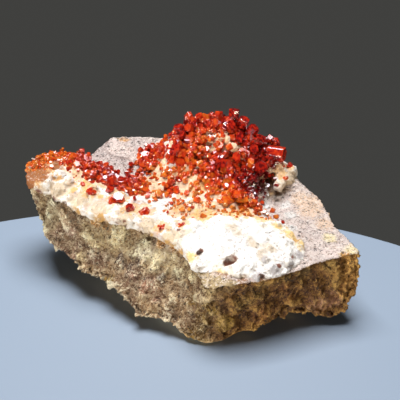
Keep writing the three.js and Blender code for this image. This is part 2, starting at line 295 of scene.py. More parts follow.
def grainGroup():  # mineral grains of uneven shade, pits, and broad patches, for any broken surface
    group = bpy.data.node_groups.new("mineralGrain", "ShaderNodeTree")
    group.interface.new_socket("Place", in_out="INPUT", socket_type="NodeSocketVector")
    for name in ("Grain Size", "Pit Size", "Pit Share"):
        group.interface.new_socket(name, in_out="INPUT", socket_type="NodeSocketFloat")
    for name in ("Grains", "Pits", "Specks", "Patches", "Height"):
        group.interface.new_socket(name, in_out="OUTPUT", socket_type="NodeSocketFloat")
    given = addNode(group, "NodeGroupInput").outputs
    result = addNode(group, "NodeGroupOutput").inputs
    warp = addNode(group, "ShaderNodeTexNoise", inputs={
        "Vector": given["Place"], "Scale": 0.8, "Detail": 4.0})
    bent = addNode(group, "ShaderNodeVectorMath", operation="MULTIPLY_ADD", inputs={
        0: warp.outputs["Color"], 1: (2.2, 2.2, 2.2), 2: given["Place"]}).outputs[0]
    grainScale = addNode(group, "ShaderNodeMath", operation="DIVIDE", inputs={0: 1.0, 1: given["Grain Size"]})
    grainScale = grainScale.outputs[0]
    cells = addNode(group, "ShaderNodeTexVoronoi", inputs={"Vector": bent, "Scale": grainScale})
    grains = addNode(group, "ShaderNodeSeparateColor", inputs={"Color": cells.outputs["Color"]}).outputs[0]
    pitScale = addNode(group, "ShaderNodeMath", operation="DIVIDE", inputs={0: 1.0, 1: given["Pit Size"]})
    pitScale = pitScale.outputs[0]
    holes = addNode(group, "ShaderNodeTexVoronoi", inputs={"Vector": bent, "Scale": pitScale})
    lot = addNode(group, "ShaderNodeSeparateColor", inputs={"Color": holes.outputs["Color"]}).outputs[1]
    chosen = addNode(group, "ShaderNodeMath", operation="LESS_THAN", inputs={0: lot, 1: given["Pit Share"]})
    hollow = rescale(group, holes.outputs["Distance"], 0.22, 0.50, 1.0, 0.0)
    pits = multiply(group, chosen.outputs[0], hollow)
    specks = addNode(group, "ShaderNodeTexNoise", inputs={
        "Vector": bent, "Scale": grainScale, "Detail": 5.0, "Roughness": 0.75}).outputs["Fac"]
    patches = addNode(group, "ShaderNodeTexNoise", inputs={
        "Vector": given["Place"], "Scale": 0.13, "Detail": 6.0, "Roughness": 0.62}).outputs["Fac"]
    uneven = addNode(group, "ShaderNodeMath", operation="MULTIPLY_ADD", inputs={0: grains, 1: 0.4, 2: specks})
    lifted = addNode(group, "ShaderNodeMath", operation="MULTIPLY_ADD", inputs={
        0: pits, 1: -1.2, 2: uneven.outputs[0]})
    made = (grains, pits, specks, patches, lifted.outputs[0])
    for name, value in zip(("Grains", "Pits", "Specks", "Patches", "Height"), made):
        group.links.new(value, result[name])
    return group


mineralGrain = grainGroup()


def addGrain(tree, where, grainSize, pitSize, pitShare):
    made = addNode(tree, "ShaderNodeGroup", node_tree=mineralGrain)
    tree.links.new(where, made.inputs["Place"])
    made.inputs["Grain Size"].default_value = grainSize
    made.inputs["Pit Size"].default_value = pitSize
    made.inputs["Pit Share"].default_value = pitShare
    return made.outputs


def bumpFrom(tree, shader, height, strength, depth):  # depth in mm
    bump = addNode(tree, "ShaderNodeBump", inputs={
        "Strength": strength, "Distance": depth * mm, "Height": height})
    tree.links.new(bump.outputs["Normal"], shader.inputs["Normal"])


def newSurface(name, settings):
    surface = bpy.data.materials.new(name)
    surface.use_nodes = True
    tree = surface.node_tree
    shader = tree.nodes["Principled BSDF"]
    for socket, value in settings.items():
        shader.inputs[socket].default_value = value
    return surface, tree, shader


# the host rock
rockPlan = {
    "voxel": 0.6,
    "foot": (0.3, 3),  # the heights in mm over which the relief fades in, above the flat break
    "topFrom": (20, 24),  # and those over which the top's own surface does
    "relief": {  # the texture, its size and depth in mm, the part it works on, and its own settings
        "brokenBlocks": ("CLOUDS", 6.5, 4.2, "sides", {"noise_depth": 2, "noise_type": "HARD_NOISE"}),
        "ledges": ("VORONOI", 4.0, 1.8, "sides", {"distance_metric": "CHEBYCHEV"}),
        "knobs": ("CLOUDS", 1.9, 1.7, "sides", {"noise_depth": 3, "noise_type": "HARD_NOISE"}),
        "topKnobs": ("CLOUDS", 3.0, 1.1, "top", {"noise_depth": 3}),
        "topHollows": ("VORONOI", 1.6, 0.5, "top", {}),
        "grit": ("CLOUDS", 0.9, 0.6, "loose", {"noise_depth": 2}),
    },
    "warmFrom": (-8, 12),  # where along x, in mm, the pale left face turns into the ochre right one
    "surface": {"Roughness": 0.9},
    "grain": {  # size of the grains and of the pits in mm, and the share of cells with a pit
        "coarse": (1.3, 1.3, 0.10), "fine": (0.5, 0.7, 0.22), "broad": (3.4, 5.0, 0.0),
    },
    "bump": {"strength": 0.9, "depth": 0.7},  # depth in mm
    "colours": {
        "tan": (0.70, 0.50, 0.27), "brown": (0.46, 0.31, 0.18), "pale": (0.98, 0.90, 0.64),
        "ochreFace": (0.40, 0.20, 0.045), "ochreBrown": (0.20, 0.085, 0.022), "ochrePale": (0.66, 0.39, 0.10),
        # pit and topPit are painted shade for the pits
        "dark": (0.36, 0.25, 0.17), "pit": (0.05, 0.028, 0.016),
        "ochre": (0.66, 0.30, 0.055), "olive": (0.38, 0.225, 0.03), "oliveDark": (0.25, 0.16, 0.045),
        "green": (0.82, 0.75, 0.48), "mauve": (0.40, 0.245, 0.165), "purple": (0.15, 0.085, 0.08),
        "pink": (0.58, 0.31, 0.19), "redBrown": (0.34, 0.135, 0.03), "cream": (0.95, 0.80, 0.45),
        "gold": (0.97, 0.56, 0.15), "top": (0.82, 0.68, 0.61), "topGrey": (0.70, 0.57, 0.52),
        "topPale": (0.94, 0.85, 0.77), "topPit": (0.12, 0.09, 0.08), "peach": (0.90, 0.64, 0.45),
        # maroon is painted shade for the hollow under the crystal brow
        "white": (0.92, 0.89, 0.84), "shoulder": (0.50, 0.36, 0.16), "maroon": (0.09, 0.025, 0.018),
        "plateGrey": (0.66, 0.535, 0.49),
    },
    "sideSpots": {  # each tint's places, with their reach, in mm
        "mauve": [
            (-54.4, 2.3, 19, 6), (-51.5, -1, 16.7, 6), (-46, -5, 16, 5), (-48, -1, 22, 5),
            (-37, -11, 17, 6), (-24, -20, 15, 6), (-19, -25, 16, 5),
        ],
        "brown": [(-48, 0, 26.8, 5), (-44, -3.7, 25.4, 4), (-52.3, 0.2, 18, 5), (-49, -3, 16.7, 4)],
        "cream": [
            (-41.9, -5.8, 24.9, 6), (-36.3, -8.2, 24.5, 8), (-31.8, -10.2, 24, 8), (-26.9, -12.8, 23, 6),
            (-15.8, -21.4, 23, 7), (-10.4, -24.7, 23.4, 7), (-6.9, -28.5, 22.5, 6), (-5, -33, 23, 5),
            (-61, 12.4, 26.6, 4), (-44.8, -7.6, 15.8, 4), (-33, -8, 27, 5), (-27, -11.5, 26.5, 5),
            (-21, -15, 26.5, 5), (-38, -7, 27, 4),
        ],
        "shoulder": [
            (0, -38.4, 24.6, 5.5), (2.7, -41.6, 23.5, 5), (1.3, -34.7, 25.5, 4.5), (9.3, -42, 23, 4.5),
        ],
        "green": [
            (-59, 8, 29, 7), (-57.4, 7.9, 24.6, 7), (-58.8, 7.8, 21.7, 6), (-21.3, -15.9, 24, 6),
            (-17, -18, 22, 4), (-24, -15, 21, 4), (-9, -27, 20, 4),
        ],
        "purple": [
            (-29.5, -13.6, 19.3, 3.6), (-26.5, -16.6, 18.6, 4), (-23.5, -18.3, 19.6, 3.2),
            (-13.9, -26.3, 17.9, 3),
        ],
        "ochre": [
            (-38, -6.5, 28.6, 3.5), (-34.3, -7.7, 28.4, 3.5), (-14, -18.5, 27.9, 3.5),
            (-9.8, -21.3, 27.9, 3.5), (-7, -24.5, 27, 3.5),
        ],
        "pink": [
            (-19.2, -26.9, 14.2, 4), (-15.7, -29.2, 12.7, 4), (47.2, -29.3, 10.7, 5), (43, -30, 8, 5),
            (38, -31.5, 10, 4),
        ],
        "olive": [
            (-3.4, -35.9, 15, 4), (0, -40.3, 9.8, 6), (-1.7, -40.8, 4, 6), (3.4, -41.5, 14.7, 5),
            (8, -41, 8, 6), (-33, -16, 10, 4),
        ],
        "oliveDark": [
            (30.3, -35.2, 24.6, 5), (44.6, -28.2, 25.5, 5), (14, -38, 16, 5), (20, -37, 20, 5),
            (0, -41, 6, 4), (36, -32, 22, 5),
        ],
        "redBrown": [(22, -37, 9, 6), (32, -34, 13, 5), (26, -36, 15, 4), (29, -34.4, 18, 4)],
        "gold": [(53.1, -27.2, 15.5, 8), (54.1, -25.5, 23.9, 7), (56, -24, 19, 8), (51, -28, 21, 5)],
    },
    "topSpots": {  # the same on the bare top
        "peach": [(40.2, -1.6, 31.7, 7), (37.8, 4.6, 32.6, 6), (42, 3, 32.5, 7), (44.8, -9.6, 30.2, 5)],
        "cream": [(45.7, -17.4, 28.9, 3.5), (52.7, -23.8, 27.7, 4), (49.9, -26.3, 27, 3)],
        "shoulder": [(5, -40, 24.5, 5.5), (10, -42.5, 24, 5), (0, -36, 25.5, 5)],
        "plateGrey": [(-30, 32, 43, 16), (-42, 30, 42, 10)],
        "white": [(31.5, 3.5, 31.1, 3.2), (32.7, -4.4, 31.1, 3), (32.8, -12.3, 30.1, 2.6), (29, 9, 33, 3)],
        "ochre": [(-30, 36, 43.7, 3), (50, -26, 26, 3)],
        # these four redBrown spots lie under the crust's cavities: painted shade on the cavity floors
        "redBrown": [(0, -29.6, 29, 2), (10.1, -33.9, 28, 7), (14.3, -39.6, 25, 3), (20.5, -38.6, 25, 1.8)],
        # painted shade: dark maroon on the rock in the hollow under the overhanging crystal brow
        "maroon": [(23.5, 8, 35, 4.5), (27, 9.3, 36, 3)],
    },
}


def tinted(tree, base, names, colours, specks, strength):  # each named tint over a base, ragged by specks
    for name in names:
        ragged = addNode(tree, "ShaderNodeMath", operation="MULTIPLY_ADD", inputs={
            0: specks, 1: 1.1, 2: attributeMask(tree, name)}).outputs[0]
        base = mixColours(tree, rescale(tree, ragged, 0.95, 1.40, 0.0, strength), base, colours[name])
    return base


def hostRockMaterial(plan):
    surface, tree, shader = newSurface("hostRock", plan["surface"])
    colours = plan["colours"]
    where = millimetres(tree)
    coarse = addGrain(tree, where, *plan["grain"]["coarse"])
    fine = addGrain(tree, where, *plan["grain"]["fine"])
    broad = addGrain(tree, where, *plan["grain"]["broad"])
    raised = attributeMask(tree, "raised")
    patchy = rescale(tree, coarse["Patches"], 0.42, 0.58)
    leftFace = mixColours(tree, patchy, colours["tan"], colours["brown"])
    rightFace = mixColours(tree, patchy, colours["ochreFace"], colours["ochreBrown"])
    side = mixColours(tree, attributeMask(tree, "warmSide"), leftFace, rightFace)
    side = tinted(tree, side, plan["sideSpots"], colours, coarse["Specks"], 0.95)
    # the pale colour, for the pale grains and for the painted highlight on the bumps
    paleGrainAndHighlight = mixColours(tree, attributeMask(tree, "warmSide"), colours["pale"], colours["ochrePale"])
    for grains, paleFrom, share in ((broad, 0.6, 0.16), (coarse, 0.66, 0.36), (fine, 0.60, 0.60)):
        side = mixColours(tree, rescale(tree, grains["Grains"], 0.34, 0.10, 0.0, share + 0.2), side,
                          colours["dark"], "MULTIPLY")
        side = mixColours(tree, rescale(tree, grains["Grains"], paleFrom, 0.95, 0.0, share), side, paleGrainAndHighlight)
    # painted shade in the hollows of the relief, multiplied dark where it is pressed in, and painted
    # highlight, the pale colour laid on where it is pushed out
    side = mixColours(tree, rescale(tree, raised, 0.40, 0.0, 0.0, 0.65), side, colours["dark"], "MULTIPLY")
    side = mixColours(tree, rescale(tree, raised, 0.55, 0.95, 0.0, 0.45), side, paleGrainAndHighlight)
    bare = mixColours(tree, rescale(tree, coarse["Patches"], 0.44, 0.58), colours["top"], colours["topGrey"])
    bare = tinted(tree, bare, plan["topSpots"], colours, coarse["Specks"], 0.9)
    bare = mixColours(tree, rescale(tree, fine["Grains"], 0.55, 0.95, 0.0, 0.65), bare, colours["topPale"])
    bare = mixColours(tree, rescale(tree, fine["Grains"], 0.24, 0.08, 0.0, 0.6), bare,
                      colours["dark"], "MULTIPLY")
    colour = mixColours(tree, attributeMask(tree, "topSide"), side, bare)
    # painted shade in the pits, which the bump only dents: near black on the sides, dark grey on the top
    pits = multiply(tree, coarse["Pits"], multiply(tree, fine["Pits"], 0.8), "MAXIMUM")
    pitShade = mixColours(tree, attributeMask(tree, "topSide"), colours["pit"], colours["topPit"])
    colour = mixColours(tree, multiply(tree, pits, 0.85), colour, pitShade)
    tree.links.new(colour, shader.inputs["Base Color"])
    height = addNode(tree, "ShaderNodeMath", operation="MULTIPLY_ADD", inputs={
        0: coarse["Height"], 1: 1.6, 2: fine["Height"]}).outputs[0]
    bumpFrom(tree, shader, height, **plan["bump"])
    return surface


def buildHostRock(plan):
    rock = copyOfNode("host_rock", "hostRock")
    applyModifier(rock, "REMESH", mode="VOXEL", voxel_size=plan["voxel"] * mm)
    applyModifier(rock, "SMOOTH", factor=0.5, iterations=4)
    points, normals = pointsOf(rock.data), normalsOf(rock.data)
    footLow, footHigh = plan["foot"]
    topLow, topHigh = plan["topFrom"]
    loose = ramp(footLow * mm, footHigh * mm, points[:, 2])
    top = ramp(0.45, 0.8, normals[:, 2]) * ramp(topLow * mm, topHigh * mm, points[:, 2])
    weightGroup(rock, "sides", loose * (1 - top))
    weightGroup(rock, "top", loose * top)
    weightGroup(rock, "loose", loose)
    paint(rock.data, "topSide", top)
    for name, how in plan["relief"].items():
        roughen(rock, name, *how)
    # how far the relief pushed each point out, which the material uses for painted shade in the hollows and
    # painted highlight on the bumps
    paint(rock.data, "raised", raisedFrom(rock, points, normals, 1.3))
    points = pointsOf(rock.data)
    for name in {**plan["sideSpots"], **plan["topSpots"]}:
        both = plan["sideSpots"].get(name, []) + plan["topSpots"].get(name, [])
        paint(rock.data, name, spotsOver(points, both))
    warmLow, warmHigh = plan["warmFrom"]
    paint(rock.data, "warmSide", ramp(anchor.x + warmLow * mm, anchor.x + warmHigh * mm, points[:, 0]))
    rock.data.materials.append(hostRockMaterial(plan))
    onlySelect(rock)
    bpy.ops.object.shade_smooth()
    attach(rock, "root")
    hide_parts("host_rock")
    return rock


hostRock = buildHostRock(rockPlan)
print("host rock:", len(hostRock.data.polygons), "faces")


# the barite crust
crustPlan = {
    "voxel": 0.42,
    "sunk": 0.4,  # how far the crust is let down onto the rock, in mm
    "swell": 0.35,  # and how far it is then swollen
    "relief": {  # as for the rock
        "crustLumps": ("CLOUDS", 4.5, 1.5, "", {"noise_depth": 3}),
        "crustBlades": ("VORONOI", 1.8, 0.75, "", {"distance_metric": "CHEBYCHEV"}),
        "crustGrit": ("CLOUDS", 0.8, 0.4, "", {"noise_depth": 2, "noise_type": "HARD_NOISE"}),
    },
    "surface": {"Roughness": 0.6},
    "grain": {"coarse": (1.4, 2.2, 0.05), "fine": (0.6, 0.9, 0.09)},
    "bump": {"strength": 0.75, "depth": 0.6},
    "looseGrains": {"count": 380, "size": (0.7, 1.9)},  # sizes in mm
    "lumps": [  # place and size, in mm
        (-40, 6.8, 36.6, 2.1), (-60.5, 14, 34, 2.6), (-57, 12, 35, 2.8), (-52.5, 9, 34.5, 2.6),
        (-48, 4.5, 33.5, 2.3), (-43, 1, 33.4, 2.2), (-37.5, -4, 33, 2.0), (-30, -6.5, 32.6, 2.0),
        (-54, 17, 36.5, 3.2), (-49, 12, 36, 2.6), (8.2, 18.2, 52.2, 1.9), (12.5, 15, 49.2, 2.2),
        (10, 17, 51, 1.8), (15.5, 12.5, 47.4, 1.8), (-12.5, 26, 45, 2.4), (31.5, 12.5, 37.6, 3.6),
        (34.4, 15.5, 38.4, 3.4), (29.8, 9.8, 36.6, 3.0), (33, 14, 37, 3.4), (31.5, -18.2, 29.6, 2.6),
        (27.5, -13, 31, 2.3), (34.5, -22, 28.6, 2.0), (24, -35, 27, 2.2), (29, -31.5, 27.4, 2.2),
        (19, -38, 25.4, 2.2),
    ],
    "cavities": [  # place, half sizes and turn, in mm and degrees
        ((0, -29.6, 30), (1.3, 1.0, 2.4), 25), ((10.1, -33.9, 29.6), (2.5, 1.7, 2.8), 15),
        ((14.3, -39.6, 26.0), (1.9, 1.0, 2.0), 20), ((20.5, -38.6, 25.6), (1.3, 0.8, 1.6), 20),
        ((-61.2, 10.2, 31.5), (2.2, 2.2, 1.9), -30), ((-56, 5.9, 31.5), (2.2, 2.2, 2.0), -30),
        ((-51, 2, 31.6), (1.9, 2.0, 1.8), -35), ((-29.4, -10.4, 31), (0.9, 0.9, 1.2), 20),
        ((-27, -10.9, 31), (0.8, 0.8, 1.2), 0), ((26.5, -34, 26.8), (1.2, 0.8, 1.4), 30),
        ((-7.5, -17, 31), (0.9, 0.9, 1.2), 0), ((31.5, -29.5, 27), (0.7, 1.3, 1.3), -20),
    ],
    "colours": {
        "white": (0.89, 0.87, 0.83), "cream": (0.68, 0.54, 0.37), "shade": (0.48, 0.44, 0.43),
        # hollow is painted shade for the walls of the cut cavities
        "stain": (0.80, 0.45, 0.16), "deepStain": (0.30, 0.088, 0.010), "hollow": (0.20, 0.065, 0.035),
        "pink": (0.70, 0.50, 0.44), "ochre": (0.58, 0.32, 0.09), "fleck": (0.36, 0.25, 0.18),
        # maroon is painted shade for the hollow under the crystal brow
        "yellow": (0.86, 0.60, 0.24), "maroon": (0.10, 0.022, 0.015),
    },
    "stainReach": 3.2,  # how far round the crystals the stain reaches, in mm
    # the maroon laid last is painted shade under the crystal brow
    "overAll": ("deepStain", "maroon"),  # the tints laid over the stain round the crystals
    "spots": {  # each tint's places, with their reach, in mm
        "pink": [
            (-54, 9, 34, 3), (-41, -2, 33, 3), (-59, 13, 33.5, 3), (-48, 10, 36, 3),
            (-20, -14, 31.5, 3.5), (-28, -8, 32, 4), (-12, -20, 30.5, 3.5), (-46, 5, 34, 4),
            (-36, 0, 34, 5), (-24, -2, 34, 4), (-57, 14, 36, 3), (-15, -17, 31, 3),
        ],
        "cream": [
            (-60, 14, 34, 6), (-52, 9, 35, 7), (-44, 2, 34, 7), (-36, -4, 33, 7), (-26, -8, 32.5, 6),
            (-18, -14, 31.5, 6), (-10, -20, 30.5, 5), (32, 13, 38, 7),
        ],
        "stain": [
            (0, 5, 38, 5), (-5.6, 9.5, 41, 4), (10, 3, 38, 5), (18, 0, 35, 5), (-60, 20, 38, 8),
            (-52, 24, 38, 6), (-66, 16, 33, 4), (-62, 15, 35, 3.5), (-43, 11, 37, 3.5), (3, -7, 34, 4),
            (-8, -4, 34, 4), (16, -7, 33, 4), (-42, 8, 36, 4), (-54, 15, 36, 2.5), (-47, 8, 36, 2.5),
            (-37, 3, 34.5, 2.5),
        ],
        "yellow": [
            (31.5, -18.2, 30, 5), (35, -22, 28, 4), (12, -9, 33.5, 6), (22, -10, 32.5, 5), (1, -9, 34, 6),
            (26.8, -10, 31.3, 5), (6, -38, 27, 4), (-3, -31, 29, 3), (27, -15, 31.5, 3),
        ],
        "ochre": [
            (-11.2, -21.9, 28.4, 3), (-6.9, -26, 27.9, 2.6), (-17.7, -17.2, 29, 2.6), (-36, -8, 31, 3.5),
            (-44, -1.5, 31, 3), (-62, 11, 31, 2.5), (33.5, -21, 29.6, 1.8),
        ],
        "shade": [
            (19, -38.6, 25.4, 3.4), (25, -36, 26.6, 3.2), (14, -41.5, 25, 2.6), (30, -32, 27, 3),
            (34, -27, 27.6, 2.4), (22, -33, 29, 1.8),
        ],
        "deepStain": [
            (-64.5, 25, 39, 9), (-65.2, 19.5, 35.5, 9), (-58, 27, 39, 6), (-64, 30, 38, 7),
            (-61, 21, 37, 5), (-50, 27, 39, 5), (-60, 17.5, 37, 4.5), (-66, 16, 33, 7), (-55, 22, 38, 4),
        ],
        # painted shade: dark maroon on the crust in the hollow under the overhanging crystal brow
        "maroon": [
            (22, 6, 36, 4), (19, 3, 35.5, 3), (23, 2.5, 33.5, 2.6), (21.6, 8.6, 36.5, 4),
            (23.1, 8.3, 34.9, 4.5), (25.5, 9.3, 36, 3),
        ],
    },
}


def bariteMaterial(plan):
    surface, tree, shader = newSurface("bariteCrust", plan["surface"])
    colours = plan["colours"]
    where = millimetres(tree)
    coarse = addGrain(tree, where, *plan["grain"]["coarse"])
    fine = addGrain(tree, where, *plan["grain"]["fine"])
    creamy = rescale(tree, coarse["Patches"], 0.5, 0.68, 0.0, 0.8)
    colour = mixColours(tree, creamy, colours["white"], colours["cream"])
    # cream on the steep and downward faces: partly the crust's cream edge, partly painted shade on faces
    # turned from the overhead light
    lip = multiply(tree, attributeMask(tree, "lip"), coarse["Specks"], "ADD")
    colour = mixColours(tree, rescale(tree, lip, 0.85, 1.3, 0.0, 0.8), colour, colours["cream"])
    raised = attributeMask(tree, "raised")
    patchy = addNode(tree, "ShaderNodeMath", operation="MULTIPLY_ADD", inputs={
        0: raised, 1: -0.35, 2: coarse["Specks"]}).outputs[0]
    patchy = addNode(tree, "ShaderNodeMath", operation="ADD", inputs={0: patchy, 1: 0.17}).outputs[0]
    early = [name for name in plan["spots"] if name not in plan["overAll"]]
    colour = tinted(tree, colour, early, colours, patchy, 0.97)
    broken = multiply(tree, coarse["Specks"], rescale(tree, raised, 0.25, 0.75, 0.22, -0.28), "ADD")
    between = multiply(tree, attributeMask(tree, "underCrystals"), broken, "ADD")
    colour = mixColours(tree, rescale(tree, between, 0.76, 1.12, 0.0, 0.93), colour, colours["stain"])
    colour = mixColours(tree, rescale(tree, between, 1.05, 1.42, 0.0, 0.95), colour, colours["deepStain"])
    colour = tinted(tree, colour, plan["overAll"], colours, patchy, 0.97)
    rusty = multiply(tree, attributeMask(tree, "cream"), rescale(tree, fine["Specks"], 0.56, 0.66))
    colour = mixColours(tree, multiply(tree, rusty, 0.7), colour, colours["ochre"])
    # white on the pale grains, kept to the raised bumps: partly the barite's white grains, partly painted
    # highlight on the bumps
    whiteGrainsAndBumpHighlight = multiply(tree, rescale(tree, fine["Grains"], 0.70, 0.95), rescale(tree, raised, 0.35, 0.7))
    colour = mixColours(tree, multiply(tree, whiteGrainsAndBumpHighlight, 0.4), colour, colours["white"])
    colour = mixColours(tree, rescale(tree, fine["Grains"], 0.16, 0.06, 0.0, 0.45), colour, colours["fleck"])
    # painted shade in the crust's pits, in the fleck colour that also marks the dark grains above
    colour = mixColours(tree, multiply(tree, fine["Pits"], 0.75), colour, colours["fleck"])
    # painted shade: the walls of the cut cavities are painted dark red-brown
    colour = mixColours(tree, attributeMask(tree, "cavity"), colour, colours["hollow"])
    tree.links.new(colour, shader.inputs["Base Color"])
    height = addNode(tree, "ShaderNodeMath", operation="MULTIPLY_ADD", inputs={
        0: coarse["Specks"], 1: 1.6, 2: fine["Height"]}).outputs[0]
    bumpFrom(tree, shader, height, **plan["bump"])
    return surface


def sampleFaces(mesh, count, wanted):  # random places on the faces that are wanted, by area
    mesh.calc_loop_triangles()
    triangles = [t for t in mesh.loop_triangles if wanted(t)]
    for triangle in chance.choices(triangles, weights=[t.area for t in triangles], k=count):
        a, b, c = (mesh.vertices[i].co for i in triangle.vertices)
        u, v = chance.random(), chance.random()
        if u + v > 1:
            u, v = 1 - u, 1 - v
        yield a + (b - a) * u + (c - a) * v, triangle.normal.copy()


def grainShape():  # one rough tabular grain, a millimetre or so across when placed
    bpy.ops.object.select_all(action="DESELECT")
    bpy.ops.mesh.primitive_ico_sphere_add(subdivisions=2, radius=1)
    grain = bpy.context.object
    bpy.ops.object.mode_set(mode="EDIT")
    bpy.ops.mesh.select_all(action="SELECT")
    bpy.ops.transform.vertex_random(offset=0.28, uniform=0.2, seed=4)
    bpy.ops.transform.resize(value=(1, 0.8, 0.5))
    bpy.ops.object.mode_set(mode="OBJECT")
    return grain


def copyPiece(shape, matrix):
    mesh = shape.data.copy()
    mesh.transform(matrix)
    piece = bpy.data.objects.new(shape.name, mesh)
    bpy.context.scene.collection.objects.link(piece)
    return piece


def joinInto(piece, others):
    bpy.ops.object.select_all(action="DESELECT")
    for other in others:
        other.select_set(True)
    piece.select_set(True)
    bpy.context.view_layer.objects.active = piece
    bpy.ops.object.join()


def standing(at, axis, spin, scale):  # the matrix that puts a shape's +Z along an axis
    turn = axis.to_track_quat("Z", "Y").to_matrix().to_4x4() @ Matrix.Rotation(spin, 4, "Z")
    return Matrix.Translation(at) @ turn @ Matrix.Diagonal((*scale, 1))


def turnedAxes(points, at, turn):  # how far each point lies along and across a turned axis at a place
    local = points - np.array(place(*at))
    cos, sin = math.cos(math.radians(turn)), math.sin(math.radians(turn))
    return local[:, 0] * cos + local[:, 1] * sin, local[:, 1] * cos - local[:, 0] * sin, local[:, 2]


def buildBariteCrust(plan):
    crust = copyOfNode("barite_crust", "bariteCrust")
    crust.data.transform(Matrix.Translation((0, 0, -plan["sunk"] * mm)))
    grain = grainShape()
    small, large = plan["looseGrains"]["size"]
    grains = []
    for at, normal in sampleFaces(crust.data, plan["looseGrains"]["count"], lambda t: t.normal.z > -0.1):
        size = (small + (large - small) * chance.random() ** 2) * mm
        lean = Vector([chance.uniform(-1, 1) for _ in range(3)])
        grains.append(copyPiece(grain, standing(at, normal + lean, chance.uniform(0, 6.3), [size] * 3)))
    for x, y, z, size in plan["lumps"]:
        lean = Vector([chance.uniform(-1, 1) for _ in range(3)])
        sizes = [size * mm, size * mm, size * 1.5 * mm]
        grains.append(copyPiece(grain, standing(place(x, y, z), lean, chance.uniform(0, 6.3), sizes)))
    joinInto(crust, grains)
    applyModifier(crust, "REMESH", mode="VOXEL", voxel_size=plan["voxel"] * mm)
    applyModifier(crust, "SMOOTH", factor=0.5, iterations=2)
    applyModifier(crust, "DISPLACE", direction="NORMAL", mid_level=0, strength=plan["swell"] * mm)
    roughen(crust, "crustLumps", *plan["relief"]["crustLumps"])
    cutters = []
    for at, half, turn in plan["cavities"]:
        matrix = Matrix.Translation(place(*at)) @ Matrix.Rotation(math.radians(turn), 4, "Z")
        sizes = (half[0] * mm, half[1] * 1.25 * mm, half[2] * 2 * mm, 1)
        cutters.append(copyPiece(grain, matrix @ Matrix.Diagonal(sizes)))
    joinInto(cutters[0], cutters[1:])
    applyModifier(crust, "BOOLEAN", operation="DIFFERENCE", object=cutters[0], solver="EXACT")
    applyModifier(crust, "REMESH", mode="VOXEL", voxel_size=plan["voxel"] * mm)
    bpy.data.objects.remove(cutters[0])
    bpy.data.objects.remove(grain)
    points, normals = pointsOf(crust.data), normalsOf(crust.data)
    roughen(crust, "crustBlades", *plan["relief"]["crustBlades"])
    roughen(crust, "crustGrit", *plan["relief"]["crustGrit"])
    paint(crust.data, "raised", raisedFrom(crust, points, normals, 0.35))
    points, normals = pointsOf(crust.data), normalsOf(crust.data)
    for name, spots in plan["spots"].items():
        paint(crust.data, name, spotsOver(points, spots))
    # the cavity mask, for the painted shade on the cavity walls
    hollows = np.zeros(len(points))
    for at, half, turn in plan["cavities"]:
        along, across, up = turnedAxes(points, at, turn)
        far = np.sqrt((along / half[0]) ** 2 + (across / half[1]) ** 2 + (up / half[2] / 1.6) ** 2) / mm
        hollows = np.maximum(hollows, 1 - ramp(0.8, 1.15, far))
    paint(crust.data, "cavity", hollows)
    paint(crust.data, "underCrystals", nearness(points, crystalTree, plan["stainReach"]))
    # lip: the steep and downward faces, for the cream and painted shade on them
    paint(crust.data, "lip", 1 - ramp(0.0, 0.65, normals[:, 2]))
    crust.data.materials.append(bariteMaterial(plan))
    onlySelect(crust)
    bpy.ops.object.shade_smooth()
    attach(crust, "root")
    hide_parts("barite_crust")
    return crust


bariteCrust = buildBariteCrust(crustPlan)
print("barite crust:", len(bariteCrust.data.polygons), "faces")


